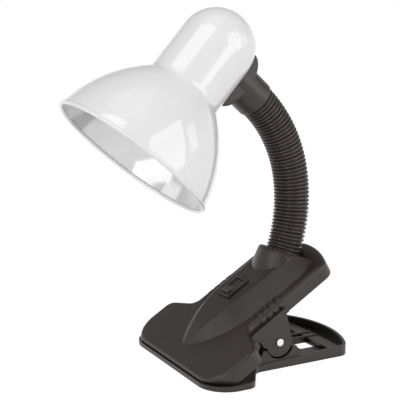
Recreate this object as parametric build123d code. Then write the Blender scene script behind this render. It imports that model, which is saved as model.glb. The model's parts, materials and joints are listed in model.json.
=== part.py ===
from build123d import *
import math
import os

# A clip-on reading lamp, in millimetres.
# X runs from the mouth of the clip to its rear, Y across it, Z up.
# The origin lies on the resting face, right under the pivot pin.

# Clip, seen from above
jaw_front = 72.7
lower_half_width = 71.3
lower_wing_end = -38.0
lower_waist_end = -22.0
lower_lever_half_width = 46.0
lower_rear = 75.3
lower_rear_bow = 83.0
upper_half_width = 69.0
upper_wing_end = 39.5
upper_waist_end = 49.5
upper_lever_half_width = 40.6
upper_rear_bow = 72.0
front_corner = 22.5
wing_corner = 9.0
waist_corner = 8.0
rear_corner = 10.0

# Lower jaw: a tray with a rim that grows towards the rear
rim_front_height = 3.4
rim_rear_height = 9.0
jaw_wall = 2.4
tray_floor = 1.8
tray_rib_height = 1.4
tray_rib_width = 1.6
tray_rib_inset = 9.0
ledge_start = 51.0
ledge_end = 62.0
ledge_height = 4.6
window_start = 35.0
window_end = 50.0
window_inner = 5.6
window_outer = 21.0
keel_start = 24.0
keel_inner = 3.6
keel_outer = 5.2
keel_height = 5.4
jaw_gap = 0.4

# Pivot
pivot_height = 20.0
pin_radius = 2.0
pin_clearance = 0.05
pin_head_radius = 3.1
pin_head_height = 1.4
ear_radius = 11.5
ear_thickness = 4.0
ear_step = 3.1
ear_front = 15.5
ear_arch = ((-23.5, 24.7), (-19.1, 23.6), (-16.4, 21.6), (-14.0, 17.6), (-11.0, 16.6))
side_gap = 0.4
lug_thickness = 4.5
lug_radius = 9.0
lug_half_foot = 17.0
cradle_gap = 1.2
cradle_inset = 1.0
cradle_thickness = 3.2
cradle_half_top = 15.0
cradle_half_foot = 20.5
cradle_top = 15.2

# Upper jaw, in its own tilted plane
plate_tilt = 31.3
plate_front_x = -70.1
plate_front_z = 7.7
plate_round = 3.0
plate_length = 144.5
plate_roof = 2.6
skirt_height = 12.2
inlet_radius = 3.0
inlet_depth = 6.5
grip_count = 4
grip_first = 65.1
grip_pitch = 6.4
grip_width = 4.2
grip_height = 0.8
grip_round = 5.2
grip_reach = 8.5

# Canoe-shaped housing on the plate: place along the plate, base half width, top half width, height
hump_sections = (
    (13.0, 5.5, 1.6, 0.6),
    (18.0, 12.0, 3.4, 2.4),
    (27.0, 20.4, 6.8, 5.4),
    (42.0, 29.0, 11.8, 9.0),
    (71.0, 35.0, 16.0, 11.3),
    (100.0, 35.2, 17.0, 11.0),
    (131.0, 25.5, 15.5, 10.0),
)
hump_wall = 2.6
hump_edge_round = 5.0
hump_round_share = 0.8
cavity_overrun = 1.0
cavity_start = 30.0
cavity_end = 100.0
boss_radius = 3.2
boss_places = ((36.0, 8.0), (94.0, 22.0))
cover_thickness = 2.0
cover_front = 25.0
cover_rear = 106.0
cover_front_half_width = 12.0
cover_half_width = 32.0
screw_radius = 1.2
screw_head_radius = 2.6
screw_head_height = 1.6
screw_length = 6.5
screw_clearance = 0.05

# Collar that holds the neck
neck_base_x = 30.4
neck_base_z = 78.5
neck_lean = 20.0
collar_radius = 20.0
collar_tail = 10.5
collar_tail_half_width = 27.0
collar_bore_depth = 1.8
collar_floor = 3.0
collar_length = 45.0
collar_round = 3.0
flare_start = 3.0
flare_end = 26.0
flare_half_length = 20.5
flare_half_width = 27.5
flare_offset = 1.0
pocket_radius = 13.5
dot_radius = 0.8
dot_depth = 2.0
dot_place = (-15.5, 7.4)

# Rocker switch on the housing
switch_place = 71.0
switch_length = 21.5
switch_width = 16.0
switch_bezel = 1.6
switch_body_depth = 8.5
switch_body_length = 19.2
switch_body_width = 13.0
switch_wall = 1.0
switch_fit = 0.2
rocker_radius = 8.3
rocker_crown = 3.1
rocker_waist = 2.0
rocker_width = 9.4
rocker_gap = 0.3
rocker_tilt = 8.0
rocker_depth = 2.5
rocker_foot = 5.0
rocker_pivot_drop = 1.0
trunnion_radius = 1.0
terminal_size = (0.8, 4.8, 4.6)
terminal_offset = 5.0
block_place = 49.0
block_size = (10.0, 16.0, 7.0)
block_hole_radius = 1.6
block_hole_offset = 4.0

# Gooseneck: two tangent arcs, with ribs and a joint every few ribs
neck_lower_length = 66.0
neck_lower_turn = 31.0
neck_upper_length = 66.0
neck_upper_turn = 37.5
neck_overlap = 1.5
rib_count = 45
ribs_per_segment = 3
rib_radius = 14.15
valley_radius = 12.2
sleeve_bore = 11.4
valley_share = 0.2
flank_share = 0.11
core_fit = 0.3
core_bore = 7.4
lead_radius = 2.4
sleeve_fit = 0.45
core_gap = 0.15

# Ferrules that clamp the neck at both ends
ferrule_radius = 5.0
ferrule_bore = 3.0
ferrule_flange = 10.8
ferrule_inset = 0.5
thread_fit = 0.1
lower_ferrule_length = 14.0
nut_width = 14.0
nut_height = 4.5

# Shade, along its own axis from the rim
rim_radius = 65.1
bead_radius = 1.5
bell_radius = 103.9
shoulder_height = 64.6
shoulder_round = 8.0
cap_radius = 29.6
shade_height = 135.5
shade_wall = 0.8

# Saddle between the neck and the shade
saddle_drop = 7.1
saddle_shift = 2.8
saddle_half_length = 23.6
saddle_half_width = 14.0
saddle_base = 23.5
saddle_rise = 13.0
saddle_round = 2.5
saddle_fit = 0.1
stub_radius = 15.2
stub_reach = 53.0
stub_round = 1.8

# Lampholder for a 27 mm screw cap
holder_radius = 19.5
holder_body_length = 28.0
holder_cap_length = 20.5
holder_bore = 14.4
holder_floor = 3.0
holder_taper = 3.5
shell_radius = 13.4
shell_wall = 0.6
shell_inset = 2.0
contact_width = 6.0
contact_rise = 2.5
contact_recess = 3.5
contact_recess_radius = 10.0
holder_lead_offset = 6.2
bracket_thickness = 1.5
bracket_half_width = 6.0
bracket_rise = 11.2
bracket_length = 24.0
bracket_plate = 10.0
nipple_length = 9.0

# Torsion spring on the pin
spring_radius = 8.0
wire_radius = 1.1
spring_pitch = 3.2
spring_turns = 6
spring_lower_leg_angle = -20.0
spring_lower_leg_length = 24.0
spring_upper_leg_angle = 50.0
spring_seat_gap = 0.3

# Values worked out from the driving dimensions
ear_outer = upper_lever_half_width + ear_step
ear_inner = ear_outer - ear_thickness
lug_outer = ear_inner - side_gap
lug_inner = lug_outer - lug_thickness
rib_pitch = (neck_lower_length + neck_upper_length + 2 * neck_overlap) / rib_count
neck_length = neck_lower_length + neck_upper_length
segment_count = rib_count // ribs_per_segment
head_tilt = neck_lower_turn + neck_upper_turn - neck_lean
dome_start = shade_height - cap_radius
saddle_place = dome_start - saddle_drop
bracket_end = saddle_place + bracket_rise
holder_top = bracket_end - bracket_thickness
holder_split = holder_top - holder_cap_length
holder_mouth = holder_split - holder_body_length
core_radius = sleeve_bore - core_fit
hole_radius = ferrule_radius + thread_fit
pin_hole = pin_radius + pin_clearance


def plate_frame():
    """Tilted frame of the upper jaw: x along the plate, z out of its top face."""
    tilt = math.radians(plate_tilt)
    return Plane(
        origin=(plate_front_x, 0, plate_front_z),
        x_dir=(math.cos(tilt), 0, math.sin(tilt)),
        z_dir=(-math.sin(tilt), 0, math.cos(tilt)),
    )


def collar_frame():
    """Frame at the collar's top: z along the neck, x to the rear."""
    lean = math.radians(neck_lean)
    return Plane(
        origin=(neck_base_x, 0, neck_base_z),
        x_dir=(math.cos(lean), 0, -math.sin(lean)),
        z_dir=(math.sin(lean), 0, math.cos(lean)),
    )


def neck_frame(place):
    """Frame square to the neck's centre line at a distance from the collar's top."""
    angle = -math.radians(neck_lean)
    x = neck_base_x
    z = neck_base_z
    spans = ((neck_lower_length, neck_lower_turn), (neck_upper_length, neck_upper_turn))
    left = place
    if place < 0:
        x -= math.sin(angle) * place
        z += math.cos(angle) * place
        left = 0
    for length, turn in spans:
        run = min(left, length)
        radius = length / math.radians(turn)
        after = angle + run / radius
        x += radius * (math.cos(after) - math.cos(angle))
        z += radius * (math.sin(after) - math.sin(angle))
        angle = after
        left -= run
    x -= math.sin(angle) * left
    z += math.cos(angle) * left
    return Plane(origin=(x, 0, z), x_dir=(0, 1, 0), z_dir=(-math.sin(angle), 0, math.cos(angle)))


def head_frame():
    """Frame of the head: origin at the rim's centre, z along the shade's axis, x towards the neck."""
    tilt = math.radians(head_tilt)
    along = Vector(math.cos(tilt), 0, math.sin(tilt))
    across = Vector(math.sin(tilt), 0, -math.cos(tilt))
    origin = neck_frame(neck_length).origin - across * stub_reach - along * saddle_place
    return Plane(origin=origin, x_dir=across, z_dir=along)


def round_corners(face, corners):
    """Round the corners of a flat face, each at its own radius."""
    for point, radius in corners:
        corner = face.vertices().sort_by_distance(point)[0]
        face = fillet(corner, radius)
    return face


def jaw_outline(front, half_width, wing_end, waist_end, lever, rear, bow):
    """Outline of a jaw: a wide front that narrows to the lever, with a bowed rear end."""
    corner = rear - bow + math.sqrt(bow**2 - lever**2)
    half = (
        ((front, half_width), front_corner),
        ((wing_end, half_width), wing_corner),
        ((waist_end, lever), waist_corner),
        ((corner, lever), rear_corner),
    )
    left = [point for point, radius in half]
    right = [(x, -y) for x, y in reversed(left)]
    end = ThreePointArc((corner, lever), (rear, 0), (corner, -lever))
    face = make_face([Polyline(*right, *left), end])
    corners = list(half)
    corners += [((x, -y), radius) for (x, y), radius in half]
    return round_corners(face, corners)


def lower_outline():
    lever = lower_lever_half_width
    return jaw_outline(
        -jaw_front, lower_half_width, lower_wing_end, lower_waist_end, lever, lower_rear, lower_rear_bow
    )


def upper_outline():
    lever = upper_lever_half_width
    return jaw_outline(
        -plate_round, upper_half_width, upper_wing_end, upper_waist_end, lever, plate_length, upper_rear_bow
    )


def rim_height(x):
    """Height of the sloping plane where the two jaws meet."""
    share = (x + jaw_front) / (lower_rear + jaw_front)
    return rim_front_height + share * (rim_rear_height - rim_front_height)


def above_rim(lift):
    """Wedge of space above the plane where the jaws meet."""
    front = -2 * jaw_front
    rear = 2 * lower_rear
    ceiling = 5 * rim_rear_height
    points = (
        (front, rim_height(front) + lift),
        (rear, rim_height(rear) + lift),
        (rear, ceiling),
        (front, ceiling),
    )
    face = make_face(Polyline(*points, close=True))
    return extrude(Plane.XZ * face, 2 * lower_half_width, both=True)


def across(profile, inner, outer):
    """Both mirrored plates of a side profile drawn in X and Z."""
    slab = Plane.XZ * extrude(profile, outer - inner)
    near = Pos(0, -inner, 0) * slab
    far = Pos(0, outer, 0) * slab
    return near + far


def lower_jaw():
    outline = lower_outline()
    tray = extrude(outline, rim_rear_height)
    inside = extrude(offset(outline, -jaw_wall), rim_rear_height)
    tray -= Pos(0, 0, tray_floor) * inside
    ledge_width = 2 * lower_lever_half_width - jaw_wall
    ledge = Box(ledge_end - ledge_start, ledge_width, ledge_height, align=(Align.MIN, Align.CENTER, Align.MIN))
    rib_shape = offset(outline, -tray_rib_inset) - offset(outline, -tray_rib_inset - tray_rib_width)
    rib = extrude(rib_shape, tray_floor + tray_rib_height)
    wing = Box(jaw_front, 3 * lower_half_width, rim_rear_height, align=(Align.MAX, Align.CENTER, Align.MIN))
    ledge = Pos(ledge_start, 0, 0) * ledge
    ledge &= extrude(outline, rim_rear_height)
    tray += ledge
    tray += rib & (Pos(lug_half_foot - jaw_front / 2, 0, 0) * wing)
    keel = Rectangle(ledge_end - keel_start, keel_height, align=(Align.MIN, Align.MIN))
    tray += across(Pos(keel_start, 0) * keel, keel_inner, keel_outer)
    window = Rectangle(window_end - window_start, ledge_height, align=(Align.MIN, Align.CENTER))
    tray -= across(Pos(window_start, 0) * window, window_inner, window_outer)
    tray -= above_rim(0)
    pivot = (0, pivot_height)
    foot = tray_floor / 2
    lug = make_hull((Pos(*pivot) * Circle(lug_radius)).edges() + [Line((-lug_half_foot, foot), (lug_half_foot, foot))])
    lug -= Pos(*pivot) * Circle(pin_hole)
    cradle_points = (
        (-cradle_half_foot, rim_height(0) / 2),
        (cradle_half_foot, rim_height(0) / 2),
        (cradle_half_top, cradle_top),
        (-cradle_half_top, cradle_top),
    )
    cradle = make_face(Polyline(*cradle_points, close=True))
    cradle -= Pos(*pivot) * Circle(ear_radius + cradle_gap)
    cradle_outer = lower_lever_half_width - cradle_inset
    return tray + across(lug, lug_inner, lug_outer) + across(cradle, cradle_outer - cradle_thickness, cradle_outer)


def hump_section(place, base, top, height, drop, rounding):
    """Rounded trapezoid across the housing at one place along the plate."""
    profile = FilletPolyline((-base, -drop), (-top, height), (top, height), (base, -drop), radius=rounding)
    closing = Line((base, -drop), (-base, -drop))
    face = make_face([profile, closing])
    return Plane(origin=(place, 0, 0), x_dir=(0, 1, 0), z_dir=(1, 0, 0)) * face


def hump_size(place):
    """Base half width, top half width and height of the housing at a place between its sections."""
    for before, after in zip(hump_sections, hump_sections[1:]):
        if before[0] <= place <= after[0]:
            share = (place - before[0]) / (after[0] - before[0])
            return [a + share * (b - a) for a, b in zip(before[1:], after[1:])]
    return list(hump_sections[-1][1:])


def hump():
    drop = plate_roof / 2
    faces = []
    for place, base, top, height in hump_sections:
        rounding = min(hump_edge_round, hump_round_share * top)
        faces.append(hump_section(place, base, top, height, drop, rounding))
    return loft(faces)


def hump_cavity():
    """Hollow under the housing, open below."""
    drop = plate_roof + cavity_overrun
    faces = []
    middle = hump_sections[4][0]
    for place in (cavity_start, (cavity_start + middle) / 2, middle, cavity_end):
        base, top, height = hump_size(place)
        rounding = hump_edge_round - hump_wall
        faces.append(hump_section(place, base - 2 * hump_wall, top - hump_wall / 2, height - hump_wall, drop, rounding))
    return loft(faces, ruled=True)


def boss_top(place, side):
    """Height at which a screw boss ends inside the housing's wall."""
    base, top, height = hump_size(place)
    slope = (base - side - boss_radius) / (base - top)
    return height * min(slope, 1) - hump_wall / 2


def collar_tools():
    """Collar, the space above its top face, its bores and its pin hole, in the frame of the plate."""
    to_plate = plate_frame().location.inverse() * collar_frame().location
    tail = Line((collar_tail, -collar_tail_half_width), (collar_tail, collar_tail_half_width))
    footprint = make_hull(Circle(collar_radius).edges() + [tail])
    body = extrude(footprint, -collar_length)
    body = fillet(body.edges().group_by(Axis.Z)[-1], collar_round)
    foot = Pos(flare_offset, 0, -flare_end) * Ellipse(flare_half_length, flare_half_width)
    body += loft([Pos(0, 0, -flare_start) * Circle(collar_radius), foot])
    size = 3 * collar_radius
    above = Box(size, 2 * size, size, align=(Align.CENTER, Align.CENTER, Align.MIN))
    sleeve_hole = Circle(rib_radius + sleeve_fit)
    bores = extrude(sleeve_hole, -collar_bore_depth) + extrude(sleeve_hole, collar_radius)
    bores += extrude(Circle(hole_radius), -collar_bore_depth - 2 * collar_floor)
    pocket = extrude(Circle(pocket_radius), -collar_length)
    bores += Pos(0, 0, -collar_bore_depth - collar_floor) * pocket
    dot = Pos(*dot_place, 0) * extrude(Circle(dot_radius), -dot_depth)
    return to_plate * body, to_plate * above, to_plate * bores, to_plate * dot


def grip_ribs():
    """Grip ribs that wrap over both edges of the plate beside the ears."""
    edge = upper_lever_half_width
    low = plate_roof / 2
    outside = (
        (edge - grip_reach, -low),
        (edge - grip_reach, grip_height),
        (edge + grip_height, grip_height),
        (edge + grip_height, -skirt_height),
        (edge - jaw_wall / 2, -skirt_height),
        (edge - jaw_wall / 2, -plate_round),
        (edge - plate_round, -low),
    )
    face = make_face(Polyline(*outside, close=True))
    face = round_corners(face, [((edge + grip_height, grip_height), grip_round)])
    bar = extrude(Plane(origin=(0, 0, 0), x_dir=(0, 1, 0), z_dir=(1, 0, 0)) * face, grip_width)
    ribs = []
    for index in range(grip_count):
        rib = Pos(grip_first + index * grip_pitch - grip_width / 2, 0, 0) * bar
        ribs += [rib, rib.mirror(Plane.XZ)]
    return ribs


def ears():
    """Ears that hang from the plate to the pivot, drawn in X and Z."""
    frame = plate_frame()
    front = frame.from_local_coords((upper_waist_end, 0, -skirt_height / 2))
    rear = frame.from_local_coords((grip_first + (grip_count - 1) * grip_pitch, 0, -skirt_height / 2))
    points = (
        (front.X, front.Z),
        *ear_arch,
        (0, pivot_height),
        (ear_radius, pivot_height),
        (rear.X, rear.Z),
    )
    profile = make_face(Polyline(*points, close=True)) + Pos(0, pivot_height) * Circle(ear_radius)
    profile -= Pos(0, pivot_height) * Circle(pin_hole)
    return across(profile, ear_inner, ear_outer)


def upper_jaw():
    outline = upper_outline()
    plate = Pos(0, 0, -skirt_height) * extrude(outline, skirt_height)
    plate = fillet(plate.edges().group_by(Axis.Z)[-1], plate_round)
    inside = extrude(offset(outline, -jaw_wall), skirt_height)
    plate -= Pos(0, 0, -skirt_height - plate_roof) * inside
    collar, above, bores, dot = collar_tools()
    size = 3 * plate_length
    over_plate = Pos(0, 0, -plate_roof / 2) * Box(size, size, size, align=(Align.CENTER, Align.CENTER, Align.MIN))
    housing = hump() + (collar & over_plate) - above
    body = plate + housing - hump_cavity()
    for place, side in boss_places:
        for y in (-side, side):
            boss = extrude(Circle(boss_radius), boss_top(place, side) + plate_roof)
            body += Pos(place, y, -plate_roof) * boss
    body -= bores
    body -= dot
    for place, side in boss_places:
        for y in (-side, side):
            body -= Pos(place, y, -plate_roof) * extrude(Circle(screw_radius + screw_clearance), screw_length)
    slot = Box(switch_body_length + 2 * switch_fit, switch_body_width + 2 * switch_fit, 4 * hump_wall)
    seat = extrude(Rectangle(switch_length + 2 * switch_fit, switch_width + 2 * switch_fit), 2 * hump_wall)
    body -= Pos(switch_place, 0, hump_size(switch_place)[2]) * (slot + seat)
    inlet = Plane(origin=(plate_length, 0, -inlet_depth), z_dir=(1, 0, 0)) * Circle(inlet_radius)
    body -= extrude(inlet, 2 * jaw_wall, both=True)
    for rib in grip_ribs():
        body += rib
    body = plate_frame().location * body
    keep = above_rim(jaw_gap)
    low = Box(3 * jaw_front, 4 * upper_half_width, 3 * skirt_height, align=(Align.MAX, Align.CENTER, Align.MIN))
    low = Pos(-ear_front, 0, -skirt_height) * low
    body -= low - keep
    return body + ears()


def base_cover():
    half = (
        (cover_front, cover_front_half_width),
        ((cover_front + cover_rear) / 2, cover_half_width),
        (cover_rear, cover_half_width),
    )
    right = [(x, -y) for x, y in reversed(half)]
    face = make_face(Polyline(*half, *right, close=True))
    for place, side in boss_places:
        for y in (-side, side):
            face -= Pos(place, y) * Circle(screw_radius + screw_clearance)
    cover = extrude(face, -cover_thickness)
    return plate_frame().location * (Pos(0, 0, -plate_roof) * cover)


def base_cover_screws():
    """Four pan-head screws that hold the cover to the bosses."""
    shank = extrude(Circle(screw_radius), screw_length - cover_thickness)
    head = extrude(Circle(screw_head_radius), -screw_head_height)
    head = fillet(head.edges().group_by(Axis.Z)[0], screw_head_height / 2)
    drive = Box(screw_head_radius, screw_head_height / 3, screw_head_height)
    drive += drive.rotate(Axis.Z, 90)
    screw = head + shank - Pos(0, 0, -screw_head_height) * drive
    frame = plate_frame().location
    depth = -plate_roof - cover_thickness
    group = []
    for place, side in boss_places:
        for y in (-side, side):
            group.append(frame * (Pos(place, y, depth) * screw))
    return Compound(children=group)


def switch_location():
    """Frame on the housing's flat top, in the middle of the switch."""
    return plate_frame().location * Pos(switch_place, 0, hump_size(switch_place)[2])


def switch_frame():
    """Bezel with side rails, and the body that holds the rocker."""
    bezel = extrude(Rectangle(switch_length, switch_width), switch_bezel)
    bezel = fillet(bezel.edges().group_by(Axis.Z)[-1], switch_wall / 2)
    body = extrude(Rectangle(switch_body_length, switch_body_width), -switch_body_depth)
    opening = Rectangle(2 * (rocker_radius + rocker_gap), rocker_width + 2 * rocker_gap)
    depth = switch_body_depth - switch_wall
    frame = bezel + body - Pos(0, 0, -depth) * extrude(opening, depth + 2 * switch_bezel)
    axle = Plane.XZ * Circle(trunnion_radius + pin_clearance)
    frame -= Pos(0, 0, -rocker_pivot_drop) * extrude(axle, switch_body_width / 2 - switch_wall / 2, both=True)
    return switch_location() * frame


def switch_rocker():
    """Rocker with two slanting pads, drawn level and then tipped to its rest position."""
    reach = math.sqrt(rocker_radius**2 - rocker_crown**2)
    low = math.sqrt(rocker_radius**2 - rocker_depth**2 / 4)
    right = Line((0, rocker_waist), (reach, rocker_crown))
    curve = ThreePointArc((reach, rocker_crown), (rocker_radius, 0), (low, -rocker_depth / 2))
    under = Polyline((low, -rocker_depth / 2), (rocker_foot, -rocker_depth), (0, -rocker_depth))
    half = Wire([right, curve, *under.edges()])
    face = make_face([*half.edges(), *half.mirror(Plane.YZ).edges()])
    solid = extrude(Plane.XZ * face, rocker_width / 2, both=True)
    axle = extrude(Plane.XZ * Circle(trunnion_radius), switch_body_width / 2 - switch_wall, both=True)
    rocker = (solid + axle).rotate(Axis.Y, rocker_tilt)
    return switch_location() * (Pos(0, 0, -rocker_pivot_drop) * rocker)


def switch_terminals():
    """Two flat tabs under the switch body."""
    tab = Box(*terminal_size, align=(Align.CENTER, Align.CENTER, Align.MAX))
    group = []
    for x in (-terminal_offset, terminal_offset):
        group.append(switch_location() * (Pos(x, 0, -switch_body_depth) * tab))
    return Compound(children=group)


def terminal_block():
    """Two-pole connector that sits on the cover."""
    length, width, height = block_size
    block = Box(length, width, height, align=(Align.CENTER, Align.CENTER, Align.MIN))
    for y in (-block_hole_offset, block_hole_offset):
        wire_hole = Plane(origin=(0, y, height / 2), z_dir=(1, 0, 0)) * Circle(block_hole_radius)
        block -= extrude(wire_hole, length, both=True)
        block -= Pos(0, y, height / 2) * extrude(Circle(block_hole_radius), height)
    return plate_frame().location * (Pos(block_place, 0, -plate_roof) * block)


def pivot_pin():
    half = ear_outer + side_gap
    shaft = extrude(Plane.XZ * Circle(pin_radius), half, both=True)
    dome = Pos(0, 0, half) * extrude(Circle(pin_head_radius), pin_head_height)
    dome = fillet(dome.edges().group_by(Axis.Z)[-1], 0.7 * pin_head_height)
    head = dome.rotate(Axis.X, 90)
    pin = shaft + head + head.mirror(Plane.XZ)
    return Pos(0, 0, pivot_height) * pin


def biarc(start, start_way, end, end_way):
    """Two tangent arcs between two points with given directions."""
    chord = end - start
    ways = start_way + end_way
    spread = 2 * (1 - start_way.dot(end_way))
    root = math.sqrt(chord.dot(ways) ** 2 + spread * chord.dot(chord))
    reach = (root - chord.dot(ways)) / spread
    first = start + start_way * reach
    second = end - end_way * reach
    middle = (first + second) * 0.5
    way = (second - first).normalized()
    return [Edge.make_tangent_arc(start, start_way, middle), Edge.make_tangent_arc(middle, way, end)]


def torsion_spring():
    """One wire: a leg on the tray, the turns round the pin, and a leg under the base cover."""
    start_angle = 270 + spring_lower_leg_angle
    end_angle = 90 + spring_upper_leg_angle - 360 * spring_turns
    span = start_angle - end_angle
    length = spring_pitch * span / 360

    def at(angle):
        turn = math.radians(angle)
        y = length * ((start_angle - angle) / span - 0.5)
        return Vector(spring_radius * math.cos(turn), y, pivot_height + spring_radius * math.sin(turn))

    def way(angle):
        turn = math.radians(angle)
        rise = spring_pitch / (2 * math.pi)
        return Vector(spring_radius * math.sin(turn), rise, -spring_radius * math.cos(turn)).normalized()

    steps = math.ceil(span / 90)
    angles = [start_angle - span * index / steps for index in range(steps + 1)]
    first = at(start_angle) - way(start_angle) * spring_lower_leg_length
    seat = plate_roof + cover_thickness + wire_radius + spring_seat_gap
    last_way = way(end_angle)
    normal = plate_frame().z_dir
    depth = (at(end_angle) - plate_frame().origin).dot(normal)
    last = at(end_angle) + last_way * ((-seat - depth) / last_way.dot(normal))
    edges = [Edge.make_line(first, at(start_angle))]
    for before, after in zip(angles, angles[1:]):
        edges += biarc(at(before), way(before), at(after), way(after))
    edges.append(Edge.make_line(at(end_angle), last))
    path = Wire(edges)
    profile = Plane(origin=first, z_dir=way(start_angle)) * Circle(wire_radius)
    return sweep(profile, path)


def neck_segment(index):
    """One stiff stretch of the ribbed sleeve, between two bending places."""
    valley = valley_share * rib_pitch
    flank = flank_share * rib_pitch
    start = -neck_overlap + index * ribs_per_segment * rib_pitch
    faces = []
    for rib in range(ribs_per_segment):
        foot = start + rib * rib_pitch
        places = (
            (foot + valley, valley_radius),
            (foot + valley + flank, rib_radius),
            (foot + rib_pitch - valley - flank, rib_radius),
            (foot + rib_pitch - valley, valley_radius),
        )
        faces += [neck_frame(place) * Circle(radius) for place, radius in places]
    ends = (start, start + ribs_per_segment * rib_pitch)
    bore = loft([neck_frame(place) * Circle(sleeve_bore) for place in ends], ruled=True)
    return loft(faces, ruled=True) - bore


def neck_path(first, last):
    """Centre line of the neck between two places: straight ends and two arcs."""
    marks = [first, 0, neck_lower_length, neck_length, last]
    marks = [min(max(mark, first), last) for mark in marks]
    edges = []
    for start, end in zip(marks, marks[1:]):
        if end - start < 0.001:
            continue
        points = [neck_frame(place).origin for place in (start, (start + end) / 2, end)]
        if start < 0 or end > neck_length:
            edges.append(Edge.make_line(points[0], points[2]))
        else:
            edges.append(Edge.make_three_point_arc(*points))
    return Wire(edges)


def neck_core():
    """Stiff flexible tube inside the sleeve."""
    start = ferrule_inset + core_gap
    end = neck_length - start
    path = neck_path(start, end)
    tube = sweep(neck_frame(start) * Circle(core_radius), path)
    return tube - sweep(neck_frame(start) * Circle(core_bore), path)


def neck_lead():
    """Two-core lead through the neck, from the base into the cap."""
    start = -lower_ferrule_length
    end = neck_length + stub_reach - cap_radius + 2 * nut_height
    return sweep(neck_frame(start) * Circle(lead_radius), neck_path(start, end))


def ferrule(bore_depth, length):
    """Threaded tube with a flange, standing on the floor of a bore, its thread pointing down."""
    flange = extrude(Circle(ferrule_flange), bore_depth + ferrule_inset)
    tube = extrude(Circle(ferrule_radius), -(length - bore_depth))
    bore = extrude(Circle(ferrule_bore), 2 * length, both=True)
    return Pos(0, 0, -bore_depth) * (flange + tube - bore)


def hex_nut():
    body = extrude(RegularPolygon(nut_width / 2, 6, major_radius=False), nut_height)
    return body - extrude(Circle(hole_radius), nut_height)


def neck_lower_ferrule():
    return collar_frame().location * ferrule(collar_bore_depth, lower_ferrule_length)


def neck_lower_nut():
    depth = collar_bore_depth + collar_floor + nut_height
    return collar_frame().location * (Pos(0, 0, -depth) * hex_nut())


def shade_face(inset):
    """Half section of the shade out to one of its skins, on the X and Z plane of its axis."""
    axis_gap = bell_radius
    rim = rim_radius - bead_radius / 2
    dx = cap_radius - rim
    half = math.hypot(dx, shoulder_height) / 2
    back = math.sqrt(axis_gap**2 - half**2) / (2 * half)
    centre_r = (rim + cap_radius) / 2 - back * shoulder_height
    centre_t = shoulder_height / 2 + back * dx
    skin = bell_radius - inset
    cap = cap_radius - inset

    def bell(t):
        return centre_r + math.sqrt(skin**2 - (t - centre_t) ** 2)

    low = -bead_radius if inset else bead_radius / 2
    knee = centre_t + math.sqrt(skin**2 - (cap - centre_r) ** 2)
    middle = (low + knee) / 2
    outline = [
        Line((0, low), (bell(low), low)),
        ThreePointArc((bell(low), low), (bell(middle), middle), (cap, knee)),
        Line((cap, knee), (cap, dome_start)),
        CenterArc((0, dome_start), cap, 0, 90),
        Line((0, dome_start + cap), (0, low)),
    ]
    return round_corners(make_face(outline), [((cap, knee), shoulder_round + inset)])


def shade_skin(inset):
    return revolve(Plane.XZ * shade_face(inset), Axis.Z)


def shade():
    """Spun shade: bell, cylinder and dome in one skin, with a rolled rim."""
    body = shade_skin(0) - shade_skin(shade_wall)
    body += Pos(0, 0, bead_radius) * Torus(rim_radius - bead_radius, bead_radius)
    hole = Plane(origin=(0, 0, saddle_place), z_dir=(1, 0, 0)) * Circle(hole_radius + thread_fit)
    body -= extrude(hole, 2 * cap_radius)
    return head_frame().location * body


def stub_frame():
    """Frame on the shade's axis, with z along the stub, in the frame of the head."""
    return Plane(origin=(0, 0, saddle_place), x_dir=(0, 0, -1), z_dir=(1, 0, 0))


def head_saddle():
    """Lens-shaped saddle on the cap, with the round stub that takes the neck."""
    lens = Ellipse(saddle_half_length, saddle_rise)
    upper = Pos(0, saddle_rise) * Rectangle(3 * saddle_half_length, 2 * saddle_rise)
    foot = Pos(0, -saddle_base / 2) * Rectangle(2 * saddle_half_length, saddle_base)
    profile = (lens & upper) + foot
    middle = saddle_place - saddle_shift
    side = Plane(origin=(saddle_base, -saddle_half_width, middle), x_dir=(0, 0, 1), z_dir=(0, 1, 0))
    body = extrude(side * profile, 2 * saddle_half_width)
    edges = [edge for edge in body.edges() if edge.geom_type == GeomType.ELLIPSE]
    body = fillet(edges, saddle_round)
    stub = Cylinder(stub_radius, stub_reach - cap_radius / 2, align=(Align.CENTER, Align.CENTER, Align.MAX))
    stub = fillet(stub.edges().group_by(Axis.Z)[-1], stub_round)
    place = stub_frame().location * Pos(0, 0, stub_reach)
    body += place * stub
    body -= place * extrude(Circle(rib_radius + sleeve_fit), -collar_bore_depth)
    body -= place * extrude(Circle(hole_radius), -stub_reach)
    return head_frame().location * (body - shade_skin(-saddle_fit))


def head_place(depth):
    """Frame at a depth below the stub's end, z pointing along the neck."""
    return head_frame().location * stub_frame().location * Pos(0, 0, stub_reach - depth)


def bracket_top():
    """Distance of the bracket's outer face from the shade's axis: its top corners meet the dome's inside."""
    above_cap = max(bracket_end - dome_start, 0)
    reach = math.sqrt((cap_radius - shade_wall) ** 2 - above_cap**2) - saddle_fit
    return math.sqrt(reach**2 - bracket_half_width**2)


def neck_upper_ferrule():
    length = stub_reach - bracket_top() + bracket_thickness + 1.5 * nut_height
    return head_place(0) * ferrule(collar_bore_depth, length)


def neck_upper_nut():
    depth = stub_reach - bracket_top() + bracket_thickness + nut_height
    return head_place(depth) * hex_nut()


def lampholder_bracket():
    """Bent strap that carries the lampholder from the upper ferrule."""
    top = bracket_top()
    strap = Box(bracket_thickness, 2 * bracket_half_width, bracket_length, align=(Align.MAX, Align.CENTER, Align.MAX))
    foot = Box(top + bracket_plate, 2 * bracket_half_width, bracket_thickness, align=(Align.MAX, Align.CENTER, Align.MAX))
    bracket = Pos(top, 0, bracket_end) * (strap + foot)
    hole = Plane(origin=(0, 0, saddle_place), z_dir=(1, 0, 0)) * Circle(hole_radius)
    bracket -= extrude(hole, 2 * cap_radius)
    bracket -= Pos(0, 0, holder_top) * extrude(Circle(hole_radius), 2 * bracket_thickness)
    return head_frame().location * bracket


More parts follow.
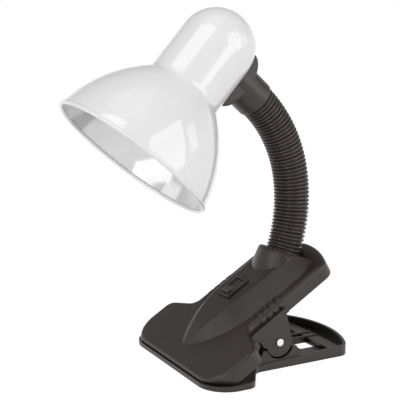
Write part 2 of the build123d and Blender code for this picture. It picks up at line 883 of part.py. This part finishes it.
def lampholder_cap():
    """Upper half of the lampholder, a tapered cup with a hole for the nipple."""
    lower = Pos(0, 0, holder_split) * Circle(holder_radius)
    upper = Pos(0, 0, holder_top) * Circle(holder_radius - holder_taper)
    body = loft([lower, upper])
    hollow = extrude(Circle(holder_bore), holder_cap_length - 2 * holder_floor)
    body -= Pos(0, 0, holder_split) * hollow
    body -= Pos(0, 0, holder_split) * extrude(Circle(hole_radius), holder_cap_length)
    return head_frame().location * body


def lampholder_body():
    """Lower half of the lampholder, a sleeve with a floor that carries the contacts."""
    length = holder_body_length
    body = extrude(Circle(holder_radius), length)
    body = fillet(body.edges().group_by(Axis.Z)[0], holder_floor / 2)
    body -= extrude(Circle(holder_bore), length - holder_floor - contact_recess)
    body -= extrude(Circle(contact_recess_radius), length - holder_floor)
    body -= Pos(0, holder_lead_offset, 0) * extrude(Circle(lead_radius), length)
    return head_frame().location * (Pos(0, 0, holder_mouth) * body)


def lampholder_screw_shell():
    """Brass thread sleeve, seated on the shoulder in the lampholder."""
    length = holder_body_length - holder_floor - contact_recess - shell_inset
    shell = extrude(Circle(shell_radius + shell_wall), length) - extrude(Circle(shell_radius), length)
    return head_frame().location * (Pos(0, 0, holder_mouth + shell_inset) * shell)


def lampholder_contact():
    """Sprung centre contact on the lampholder's floor."""
    strip = Box(2 * contact_width, contact_width, 1, align=(Align.CENTER, Align.CENTER, Align.MAX))
    button = extrude(Circle(contact_width / 2), -contact_rise)
    button = fillet(button.edges().group_by(Axis.Z)[0], contact_rise / 4)
    return head_frame().location * (Pos(0, 0, holder_split - holder_floor) * (strip + button))


def lampholder_nipple():
    """Threaded tube that ties the lampholder's cap to the bracket."""
    tube = extrude(Circle(ferrule_radius) - Circle(ferrule_bore), nipple_length)
    return head_frame().location * (Pos(0, 0, holder_top - holder_floor) * tube)


def lampholder_nut():
    return head_frame().location * (Pos(0, 0, bracket_end) * hex_nut())


def spring_clearance():
    """Least gap between neighbouring turns of the spring, measured on points."""
    steps = 24 * spring_turns
    points = []
    for index in range(steps):
        turn = 2 * math.pi * index / 24
        y = spring_pitch * index / 24
        points.append(Vector(spring_radius * math.cos(turn), y, spring_radius * math.sin(turn)))
    least = min((points[i] - points[j]).length for i in range(steps) for j in range(i + 18, steps))
    return least - 2 * wire_radius


def build():
    pieces = {
        "lower_jaw": lower_jaw(),
        "upper_jaw": upper_jaw(),
        "pivot_pin": pivot_pin(),
        "torsion_spring": torsion_spring(),
        "base_cover": base_cover(),
        "base_cover_screws": base_cover_screws(),
        "switch_frame": switch_frame(),
        "switch_rocker": switch_rocker(),
        "switch_terminals": switch_terminals(),
        "terminal_block": terminal_block(),
        "neck_lower_ferrule": neck_lower_ferrule(),
        "neck_lower_nut": neck_lower_nut(),
        "neck_core": neck_core(),
        "neck_lead": neck_lead(),
        "neck_upper_ferrule": neck_upper_ferrule(),
        "neck_upper_nut": neck_upper_nut(),
        "head_saddle": head_saddle(),
        "shade": shade(),
        "lampholder_bracket": lampholder_bracket(),
        "lampholder_cap": lampholder_cap(),
        "lampholder_body": lampholder_body(),
        "lampholder_screw_shell": lampholder_screw_shell(),
        "lampholder_contact": lampholder_contact(),
        "lampholder_nipple": lampholder_nipple(),
        "lampholder_nut": lampholder_nut(),
    }
    for index in range(segment_count):
        pieces[f"neck_segment_{index + 1:02d}"] = neck_segment(index)
    return pieces


os.makedirs("parts", exist_ok=True)
for name, shape in build().items():
    export_step(shape, f"parts/{name}.step")
print(f"least gap between the spring's turns: {spring_clearance():.2f} mm")
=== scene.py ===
import json
import math

import bpy
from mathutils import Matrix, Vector


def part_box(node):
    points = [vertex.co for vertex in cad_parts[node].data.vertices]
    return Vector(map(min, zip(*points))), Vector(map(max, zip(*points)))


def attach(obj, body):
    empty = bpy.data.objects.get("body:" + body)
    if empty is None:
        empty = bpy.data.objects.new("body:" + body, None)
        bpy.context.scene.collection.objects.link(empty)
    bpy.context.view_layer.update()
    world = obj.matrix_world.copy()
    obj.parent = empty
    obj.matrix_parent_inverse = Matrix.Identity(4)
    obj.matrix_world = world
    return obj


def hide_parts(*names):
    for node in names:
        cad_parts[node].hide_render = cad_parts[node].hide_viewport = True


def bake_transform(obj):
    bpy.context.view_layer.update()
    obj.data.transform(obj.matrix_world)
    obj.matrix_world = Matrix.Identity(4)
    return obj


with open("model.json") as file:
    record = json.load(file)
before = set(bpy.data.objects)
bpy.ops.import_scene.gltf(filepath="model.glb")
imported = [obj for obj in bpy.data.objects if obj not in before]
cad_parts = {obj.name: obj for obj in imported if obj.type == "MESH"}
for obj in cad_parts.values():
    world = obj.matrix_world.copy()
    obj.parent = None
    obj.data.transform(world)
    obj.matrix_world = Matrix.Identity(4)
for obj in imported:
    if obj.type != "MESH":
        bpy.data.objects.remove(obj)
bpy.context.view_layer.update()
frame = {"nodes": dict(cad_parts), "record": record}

# Camera, fitted to the photograph
camera_azimuth = -28.18
camera_elevation = 10.48
camera_distance = 0.718
camera_target = Vector((-0.045, 0.0, 0.1265))
camera_lens = 85.44
sensor_width = 36.0

# Head: middle of the shade's rim, and the way from there along the shade's axis
head_tilt = math.radians(48.5)
head_axis = Vector((math.cos(head_tilt), 0, math.sin(head_tilt)))
rim_centre = Vector((-0.101815, 0, 0.160903))

# Gooseneck: two tangent arcs from the collar to the stub, in metres and degrees
neck_base = (0.0304, 0.0785)
neck_lean = 20.0
neck_spans = ((0.066, 31.0), (0.066, 37.5))
neck_length = 0.132
neck_overlap = 0.0015
rib_pitch = 0.003
rib_radius = 0.01415
rib_sharpness = 0.8
rib_steps = 14
valley_radius = 0.0122
joint_gap = 0.00124
lip_radius = 0.01235
tongue_reach = 0.0015
ring_sides = 72
segment_count = 15
ribs_per_segment = 3
segment_length = ribs_per_segment * rib_pitch
lead_radius = 0.0024
lead_lower_tail = 0.014
lead_upper_tail = 0.0324
tail_sides = 20
tail_steps = 8
tail_end_scale = 0.85

# Torsion spring round the pin
pivot_height = 0.02
spring_radius = 0.008
wire_radius = 0.0011
spring_pitch = 0.0032
spring_start_angle = 250.0
spring_end_angle = -2020.0
spring_step_angle = 12
spring_lower_leg = 0.024
spring_leg_steps = 7
wire_sides = 14

# Grooves and edges: reach of the painted shade in grooves, edge radius on metal, and rays for both
crevice_reach = 0.004
crevice_samples = 6
metal_edge = 0.0003
edge_samples = 6

# Patterns in the surfaces: repeats a metre, depths in metres, and how far streaks are drawn out
patch_scale = 35.0
gloss_scale = 90.0
grain_scale = 2600.0
grain_depth = 0.0001
paint_patch_scale = 18.0
paint_gloss_scale = 60.0
paint_ripple_scale = 420.0
paint_ripple_depth = 0.0002
lacquer_gloss_scale = 140.0
streak_stretch = 6

# Colours, darkest and lightest patch of each
charcoal_dark = (0.028, 0.0205, 0.0175)
charcoal_light = (0.034, 0.0255, 0.022)
sleeve_dark = (0.042, 0.0325, 0.0285)
sleeve_light = (0.049, 0.038, 0.0335)
holder_dark = (0.72, 0.7, 0.64)
holder_light = (0.77, 0.75, 0.69)
block_dark = (0.7, 0.7, 0.67)
block_light = (0.75, 0.75, 0.72)
sheath_dark = (0.012, 0.012, 0.012)
sheath_light = (0.018, 0.018, 0.018)
white_dark = (0.79, 0.78, 0.79)
white_light = (0.805, 0.795, 0.805)
silver_dark = (0.82, 0.815, 0.815)
silver_light = (0.85, 0.845, 0.845)

# Studio
pure_white = (1, 1, 1, 1)
floor_half_size = 6.0
floor_colour = (0.9, 0.9, 0.9, 1)
floor_glow = 1.16
floor_glow_share = 0.8
studio_light = 0.42
ceiling_start = 0.1
ceiling_end = 0.45
ceiling_light = 0.3
lamp_target = Vector((-0.07, 0, 0.18))

# Lamps: name, azimuth, elevation, distance, width, height and radiance
softboxes = (
    ("key_softbox", 33, 20, 1.5, 1.05, 1.1, 2.2),
    ("side_softbox", -66, 60, 1.5, 1.1, 0.5, 2.2),
    ("right_softbox", 66, 17, 2.0, 0.42, 0.7, 1.5),
    ("left_softbox", -63, 16, 2.0, 2.0, 0.78, 2.1),
    ("rear_softbox", -102, 38, 1.8, 0.9, 0.9, 1.3),
    ("top_softbox", -28, 84, 1.3, 0.8, 0.8, 0.5),
)


def aim(obj, target):
    """Turn a camera or lamp so that it looks at a point."""
    way = Vector(target) - obj.location
    obj.rotation_mode = "QUATERNION"
    obj.rotation_quaternion = way.to_track_quat("-Z", "Y")


def direction(azimuth, elevation):
    """Unit vector towards a place in the studio."""
    a = math.radians(azimuth)
    e = math.radians(elevation)
    return Vector((math.sin(a) * math.cos(e), -math.cos(a) * math.cos(e), math.sin(e)))


class Nodes:
    """Small helper round one material's node tree."""

    def __init__(self, name):
        self.material = bpy.data.materials.new(name)
        self.material.use_nodes = True
        self.tree = self.material.node_tree
        self.tree.nodes.clear()
        self.output = self.add("ShaderNodeOutputMaterial")

    def add(self, kind, **settings):
        node = self.tree.nodes.new(kind)
        for key, value in settings.items():
            setattr(node, key, value)
        return node

    def link(self, source, target):
        self.tree.links.new(source, target)

    def noise(self, scale, detail=4.0, roughness=0.55):
        coordinates = self.add("ShaderNodeTexCoord")
        noise = self.add("ShaderNodeTexNoise")
        noise.inputs["Scale"].default_value = scale
        noise.inputs["Detail"].default_value = detail
        noise.inputs["Roughness"].default_value = roughness
        self.link(coordinates.outputs["Object"], noise.inputs["Vector"])
        return noise.outputs["Fac"]

    def span(self, value, low, high, start=0.3, end=0.7):
        node = self.add("ShaderNodeMapRange")
        node.inputs["From Min"].default_value = start
        node.inputs["From Max"].default_value = end
        node.inputs["To Min"].default_value = low
        node.inputs["To Max"].default_value = high
        self.link(value, node.inputs["Value"])
        return node.outputs["Result"]

    def tint(self, value, dark, light):
        node = self.add("ShaderNodeMix", data_type="RGBA")
        node.inputs[6].default_value = (*dark, 1)
        node.inputs[7].default_value = (*light, 1)
        self.link(value, node.inputs[0])
        return node.outputs[2]

    def bump(self, height, strength, distance, normal=None):
        node = self.add("ShaderNodeBump")
        node.inputs["Strength"].default_value = strength
        node.inputs["Distance"].default_value = distance
        self.link(height, node.inputs["Height"])
        if normal is not None:
            self.link(normal, node.inputs["Normal"])
        return node.outputs["Normal"]

    def painted_groove_shade(self, colour, reach):
        """Painted shade: darken a colour in grooves and inner corners, where less light reaches."""
        open_sky = self.add("ShaderNodeAmbientOcclusion", samples=crevice_samples)
        open_sky.inputs["Distance"].default_value = reach
        node = self.add("ShaderNodeMix", data_type="RGBA", blend_type="MULTIPLY")
        node.inputs[0].default_value = 1.0
        self.link(colour, node.inputs[6])
        self.link(open_sky.outputs["Color"], node.inputs[7])
        return node.outputs[2]

    def soft_edges(self, radius):
        node = self.add("ShaderNodeBevel", samples=edge_samples)
        node.inputs["Radius"].default_value = radius
        return node.outputs["Normal"]

    def shader(self, **values):
        node = self.add("ShaderNodeBsdfPrincipled")
        for key, value in values.items():
            node.inputs[key.replace("_", " ")].default_value = value
        self.link(node.outputs["BSDF"], self.output.inputs["Surface"])
        return node


def moulded_plastic(name, dark, light, low, high, grain, edge):
    """Satin moulded plastic: fine grain, slow patches in colour and gloss, soft edges, painted shade in
    grooves.
    """
    nodes = Nodes(name)
    shader = nodes.shader(IOR=1.48, Specular_IOR_Level=0.5)
    patches = nodes.noise(patch_scale, 3.0)
    colour = nodes.tint(nodes.span(patches, 0, 1), dark, light)
    normal = None
    if edge > 0:
        # painted shade: the colour is darkened in grooves and inner corners
        colour = nodes.painted_groove_shade(colour, crevice_reach)
        normal = nodes.soft_edges(edge)
    nodes.link(colour, shader.inputs["Base Color"])
    nodes.link(nodes.span(nodes.noise(gloss_scale, 3.0), low, high), shader.inputs["Roughness"])
    fine = nodes.noise(grain_scale, 2.0)
    nodes.link(nodes.bump(fine, grain, grain_depth, normal), shader.inputs["Normal"])
    return nodes.material


def metal(name, dark, light, low, high, scale):
    """Bare metal with faint streaks in colour and gloss."""
    nodes = Nodes(name)
    shader = nodes.shader(Metallic=1.0)
    coordinates = nodes.add("ShaderNodeTexCoord")
    stretch = nodes.add("ShaderNodeMapping")
    stretch.inputs["Scale"].default_value = (scale, scale, scale / streak_stretch)
    nodes.link(coordinates.outputs["Object"], stretch.inputs["Vector"])
    streaks = nodes.add("ShaderNodeTexNoise")
    streaks.inputs["Scale"].default_value = 1.0
    streaks.inputs["Detail"].default_value = 4.0
    nodes.link(stretch.outputs["Vector"], streaks.inputs["Vector"])
    colour = nodes.tint(nodes.span(streaks.outputs["Fac"], 0, 1), dark, light)
    nodes.link(colour, shader.inputs["Base Color"])
    nodes.link(nodes.span(streaks.outputs["Fac"], low, high), shader.inputs["Roughness"])
    nodes.link(nodes.soft_edges(metal_edge), shader.inputs["Normal"])
    return nodes.material


def shade_paint(centre, axis):
    """Gloss white paint outside, silver-grey lacquer inside, told apart by which way the skin faces."""
    nodes = Nodes("shade_paint")
    coordinates = nodes.add("ShaderNodeTexCoord")
    offset = nodes.add("ShaderNodeVectorMath", operation="SUBTRACT")
    offset.inputs[1].default_value = centre
    nodes.link(coordinates.outputs["Object"], offset.inputs[0])
    along = nodes.add("ShaderNodeVectorMath", operation="PROJECT")
    along.inputs[1].default_value = axis
    nodes.link(offset.outputs["Vector"], along.inputs[0])
    outward = nodes.add("ShaderNodeVectorMath", operation="SUBTRACT")
    nodes.link(offset.outputs["Vector"], outward.inputs[0])
    nodes.link(along.outputs["Vector"], outward.inputs[1])
    facing = nodes.add("ShaderNodeVectorMath", operation="DOT_PRODUCT")
    nodes.link(outward.outputs["Vector"], facing.inputs[0])
    nodes.link(coordinates.outputs["Normal"], facing.inputs[1])
    inside = nodes.add("ShaderNodeMath", operation="LESS_THAN")
    inside.inputs[1].default_value = 0.0
    nodes.link(facing.outputs["Value"], inside.inputs[0])

    patches = nodes.span(nodes.noise(paint_patch_scale, 2.0), 0, 1)
    white = nodes.shader(IOR=1.52, Coat_Weight=0.35, Coat_Roughness=0.03)
    nodes.link(nodes.tint(patches, white_dark, white_light), white.inputs["Base Color"])
    nodes.link(nodes.span(nodes.noise(paint_gloss_scale, 2.0), 0.06, 0.09), white.inputs["Roughness"])
    ripple = nodes.noise(paint_ripple_scale, 1.0)
    nodes.link(nodes.bump(ripple, 0.02, paint_ripple_depth), white.inputs["Normal"])

    silver = nodes.add("ShaderNodeBsdfPrincipled")
    silver.inputs["Metallic"].default_value = 0.22
    nodes.link(nodes.tint(patches, silver_dark, silver_light), silver.inputs["Base Color"])
    nodes.link(nodes.span(nodes.noise(lacquer_gloss_scale, 3.0), 0.1, 0.14), silver.inputs["Roughness"])

    both = nodes.add("ShaderNodeMixShader")
    nodes.link(inside.outputs["Value"], both.inputs["Fac"])
    nodes.link(white.outputs["BSDF"], both.inputs[1])
    nodes.link(silver.outputs["BSDF"], both.inputs[2])
    nodes.link(both.outputs["Shader"], nodes.output.inputs["Surface"])
    return nodes.material


def neck_place(place):
    """Point on the neck's centre line, its direction and the way towards the lamp's rear."""
    angle = -math.radians(neck_lean)
    x, z = neck_base
    left = place
    if place < 0:
        x -= math.sin(angle) * place
        z += math.cos(angle) * place
        left = 0
    for length, turn in neck_spans:
        run = min(left, length)
        radius = length / math.radians(turn)
        after = angle + run / radius
        x += radius * (math.cos(after) - math.cos(angle))
        z += radius * (math.sin(after) - math.sin(angle))
        angle = after
        left -= run
    x -= math.sin(angle) * left
    z += math.cos(angle) * left
    point = Vector((x, 0, z))
    way = Vector((-math.sin(angle), 0, math.cos(angle)))
    rear = Vector((math.cos(angle), 0, math.sin(angle)))
    return point, way, rear


def new_piece(name, points, faces, material):
    mesh = bpy.data.meshes.new(name)
    mesh.from_pydata(points, [], faces)
    mesh.update()
    mesh.polygons.foreach_set("use_smooth", [True] * len(mesh.polygons))
    mesh.materials.append(material)
    piece = bpy.data.objects.new(name, mesh)
    bpy.context.scene.collection.objects.link(piece)
    return piece


def tube(rings, closed):
    """Points and faces of a tube through rings of points, with both ends closed if asked."""
    sides = len(rings[0])
    points = [point for ring in rings for point in ring]
    faces = []
    for row in range(len(rings) - 1):
        for side in range(sides):
            after = (side + 1) % sides
            base = row * sides
            faces.append((base + side, base + after, base + sides + after, base + sides + side))
    if closed:
        faces.append(tuple(reversed(range(sides))))
        last = (len(rings) - 1) * sides
        faces.append(tuple(range(last, last + sides)))
    return points, faces


def ring_at(place, radius, sides):
    """Ring of points round the neck's centre line."""
    centre, way, rear = neck_place(place)
    across = Vector((0, 1, 0))
    ring = []
    for side in range(sides):
        turn = 2 * math.pi * side / sides
        ring.append(centre + (rear * math.cos(turn) + across * math.sin(turn)) * radius)
    return ring


def segment_rings(segment):
    """Rings of one stretch of the sleeve: a ribbed wave, and a tongue that reaches into the next stretch."""
    start = (segment - 1) * segment_length - neck_overlap
    end = start + segment_length
    first = start if segment == 1 else start + joint_gap / 2
    last = end if segment == segment_count else end - joint_gap / 2
    steps = ribs_per_segment * rib_steps
    profile = []
    if segment > 1:
        profile.append((first, lip_radius))
    for step in range(steps + 1):
        place = first + (last - first) * step / steps
        wave = abs(math.sin(math.pi * (place - start) / rib_pitch)) ** rib_sharpness
        profile.append((place, valley_radius + (rib_radius - valley_radius) * wave))
    if segment < segment_count:
        profile.append((last, valley_radius))
        profile.append((end + tongue_reach, valley_radius))
    return [ring_at(place, radius, ring_sides) for place, radius in profile]


def neck_body(segment):
    if segment == 1:
        return "upper_jaw"
    if segment == segment_count:
        return "head"
    return f"neck_{segment:02d}"


def make_neck(material):
    """Ribbed sleeve in short stiff stretches, one to a body, with room between their ribs for the bend."""
    for segment in range(1, segment_count + 1):
        points, faces = tube(segment_rings(segment), False)
        skin = new_piece(f"neck_sleeve_{segment:02d}", points, faces, material)
        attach(skin, neck_body(segment))
        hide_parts(f"neck_segment_{segment:02d}")


def make_lead_tails(material):
    """Ends of the lead where it leaves the neck, in the base and in the shade's cap."""
    ends = (
        ("lead_tail_lower", "upper_jaw", -lead_lower_tail, 0.0),
        ("lead_tail_upper", "head", neck_length, neck_length + lead_upper_tail),
    )
    for name, body, first, last in ends:
        rings = []
        for step in range(tail_steps + 1):
            share = step / tail_steps
            edge = tail_end_scale if step in (0, tail_steps) else 1.0
            rings.append(ring_at(first + (last - first) * share, lead_radius * edge, tail_sides))
        points, faces = tube(rings, True)
        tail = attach(new_piece(name, points, faces, material), body)
        if body == "upper_jaw":
            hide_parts("neck_lead", "neck_core")


def make_spring(material):
    """Torsion spring: a lower leg, the turns round the pin, and an upper leg."""
    span = spring_start_angle - spring_end_angle
    rise = spring_pitch / (2 * math.pi)
    length = spring_pitch * span / 360

    def at(angle):
        turn = math.radians(angle)
        y = length * ((spring_start_angle - angle) / span - 0.5)
        return Vector((spring_radius * math.cos(turn), y, pivot_height + spring_radius * math.sin(turn)))

    def way(angle):
        turn = math.radians(angle)
        return Vector((spring_radius * math.sin(turn), rise, -spring_radius * math.cos(turn))).normalized()

    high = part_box("torsion_spring")[1]
    upper_leg = (high.z - at(spring_end_angle).z - wire_radius) / way(spring_end_angle).z
    path = []
    for step in range(spring_leg_steps):
        share = 1 - step / spring_leg_steps
        path.append(at(spring_start_angle) - way(spring_start_angle) * spring_lower_leg * share)
    steps = round(span / spring_step_angle)
    for step in range(steps + 1):
        path.append(at(spring_start_angle - span * step / steps))
    for step in range(1, spring_leg_steps + 1):
        path.append(at(spring_end_angle) + way(spring_end_angle) * upper_leg * step / spring_leg_steps)
    rings = []
    for index, point in enumerate(path):
        before = path[max(index - 1, 0)]
        after = path[min(index + 1, len(path) - 1)]
        tangent = (after - before).normalized()
        side = tangent.cross(Vector((0, 1, 0))).normalized()
        up = tangent.cross(side)
        ring = []
        for turn in range(wire_sides):
            angle = 2 * math.pi * turn / wire_sides
            ring.append(point + (side * math.cos(angle) + up * math.sin(angle)) * wire_radius)
        rings.append(ring)
    points, faces = tube(rings, True)
    spring = new_piece("spring_wire", points, faces, material)
    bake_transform(spring)
    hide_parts("torsion_spring")


def dress_nodes(finishes):
    """Give each carried-over node the material of its slot."""
    slots = {part["node"]: part["material_slot"] for part in frame["record"]["subparts"]}
    for name, node in frame["nodes"].items():
        node.data.materials.clear()
        node.data.materials.append(finishes[slots[name]])


def background_ray(tree):
    """Two switches: rays that show the background, also in gloss or glass, and camera rays alone."""
    path = tree.nodes.new("ShaderNodeLightPath")
    gloss = tree.nodes.new("ShaderNodeMath")
    gloss.operation = "MAXIMUM"
    tree.links.new(path.outputs["Is Glossy Ray"], gloss.inputs[0])
    tree.links.new(path.outputs["Is Transmission Ray"], gloss.inputs[1])
    either = tree.nodes.new("ShaderNodeMath")
    either.operation = "MAXIMUM"
    tree.links.new(path.outputs["Is Camera Ray"], either.inputs[0])
    tree.links.new(gloss.outputs["Value"], either.inputs[1])
    return either.outputs["Value"], path.outputs["Is Camera Ray"]


def make_floor():
    """White floor that keeps a soft shadow."""
    size = floor_half_size
    points = [(-size, -size, 0), (size, -size, 0), (size, size, 0), (-size, size, 0)]
    nodes = Nodes("floor")
    paper = nodes.add("ShaderNodeBsdfDiffuse")
    paper.inputs["Color"].default_value = floor_colour
    glow = nodes.add("ShaderNodeEmission")
    glow.inputs["Color"].default_value = pure_white
    glow.inputs["Strength"].default_value = floor_glow
    share = nodes.add("ShaderNodeMath", operation="MULTIPLY")
    share.inputs[1].default_value = floor_glow_share
    nodes.link(background_ray(nodes.tree)[0], share.inputs[0])
    both = nodes.add("ShaderNodeMixShader")
    nodes.link(share.outputs["Value"], both.inputs["Fac"])
    nodes.link(paper.outputs["BSDF"], both.inputs[1])
    nodes.link(glow.outputs["Emission"], both.inputs[2])
    nodes.link(both.outputs["Shader"], nodes.output.inputs["Surface"])
    new_piece("floor", points, [(0, 1, 2, 3)], nodes.material)


def make_world():
    """White studio: an even soft light, white behind the object, and a darker ceiling in reflections."""
    world = bpy.data.worlds.new("studio")
    bpy.context.scene.world = world
    world.use_nodes = True
    tree = world.node_tree
    tree.nodes.clear()
    output = tree.nodes.new("ShaderNodeOutputWorld")
    soft = tree.nodes.new("ShaderNodeBackground")
    soft.inputs["Color"].default_value = pure_white
    soft.inputs["Strength"].default_value = studio_light
    seen = tree.nodes.new("ShaderNodeBackground")
    seen.inputs["Color"].default_value = pure_white
    coordinates = tree.nodes.new("ShaderNodeTexCoord")
    split = tree.nodes.new("ShaderNodeSeparateXYZ")
    tree.links.new(coordinates.outputs["Generated"], split.inputs["Vector"])
    ceiling = tree.nodes.new("ShaderNodeMapRange")
    ceiling.interpolation_type = "SMOOTHSTEP"
    ceiling.inputs["From Min"].default_value = ceiling_start
    ceiling.inputs["From Max"].default_value = ceiling_end
    ceiling.inputs["To Min"].default_value = 1.0
    ceiling.inputs["To Max"].default_value = ceiling_light
    tree.links.new(split.outputs["Z"], ceiling.inputs["Value"])
    shown, camera_ray = background_ray(tree)
    strength = tree.nodes.new("ShaderNodeMath")
    strength.operation = "MAXIMUM"
    tree.links.new(ceiling.outputs["Result"], strength.inputs[0])
    tree.links.new(camera_ray, strength.inputs[1])
    tree.links.new(strength.outputs["Value"], seen.inputs["Strength"])
    both = tree.nodes.new("ShaderNodeMixShader")
    tree.links.new(shown, both.inputs["Fac"])
    tree.links.new(soft.outputs["Background"], both.inputs[1])
    tree.links.new(seen.outputs["Background"], both.inputs[2])
    tree.links.new(both.outputs["Shader"], output.inputs["Surface"])


def softbox(name, azimuth, elevation, distance, width, height, radiance):
    """Rectangular studio lamp that faces the object's head."""
    data = bpy.data.lights.new(name, "AREA")
    data.shape = "RECTANGLE"
    data.size = width
    data.size_y = height
    data.energy = radiance * math.pi * width * height
    lamp = bpy.data.objects.new(name, data)
    bpy.context.scene.collection.objects.link(lamp)
    lamp.location = lamp_target + direction(azimuth, elevation) * distance
    aim(lamp, lamp_target)


def make_camera():
    data = bpy.data.cameras.new("camera")
    data.sensor_width = sensor_width
    data.lens = camera_lens
    camera = bpy.data.objects.new("camera", data)
    bpy.context.scene.collection.objects.link(camera)
    camera.location = camera_target + direction(camera_azimuth, camera_elevation) * camera_distance
    aim(camera, camera_target)
    bpy.context.scene.camera = camera


finishes = {
    "jaw_plastic": moulded_plastic("jaw_plastic", charcoal_dark, charcoal_light, 0.32, 0.38, 0.08, 0.00025),
    "sleeve_plastic": moulded_plastic("sleeve_plastic", sleeve_dark, sleeve_light, 0.2, 0.26, 0.02, 0),
    "switch_plastic": moulded_plastic(
        "switch_plastic", charcoal_dark, charcoal_light, 0.28, 0.34, 0.05, 0.0003
    ),
    "holder_plastic": moulded_plastic("holder_plastic", holder_dark, holder_light, 0.3, 0.4, 0.05, 0.0004),
    "block_plastic": moulded_plastic("block_plastic", block_dark, block_light, 0.35, 0.45, 0.05, 0.0003),
    "lead_sheath": moulded_plastic("lead_sheath", sheath_dark, sheath_light, 0.45, 0.6, 0.1, 0.0002),
    "shade_paint": shade_paint(rim_centre, head_axis),
    "bright_steel": metal("bright_steel", (0.78, 0.78, 0.78), (0.86, 0.86, 0.86), 0.12, 0.22, 300.0),
    "spring_steel": metal("spring_steel", (0.36, 0.36, 0.37), (0.5, 0.5, 0.51), 0.28, 0.4, 500.0),
    "plated_steel": metal("plated_steel", (0.55, 0.55, 0.54), (0.68, 0.68, 0.66), 0.25, 0.38, 500.0),
    "core_steel": metal("core_steel", (0.3, 0.3, 0.3), (0.42, 0.42, 0.42), 0.35, 0.5, 500.0),
    "brass": metal("brass", (0.62, 0.44, 0.17), (0.74, 0.55, 0.25), 0.22, 0.36, 500.0),
}
dress_nodes(finishes)
make_neck(finishes["sleeve_plastic"])
make_lead_tails(finishes["lead_sheath"])
make_spring(finishes["spring_steel"])
make_floor()
make_world()
for settings in softboxes:
    softbox(*settings)
make_camera()
bpy.context.scene.view_settings.view_transform = "Standard"
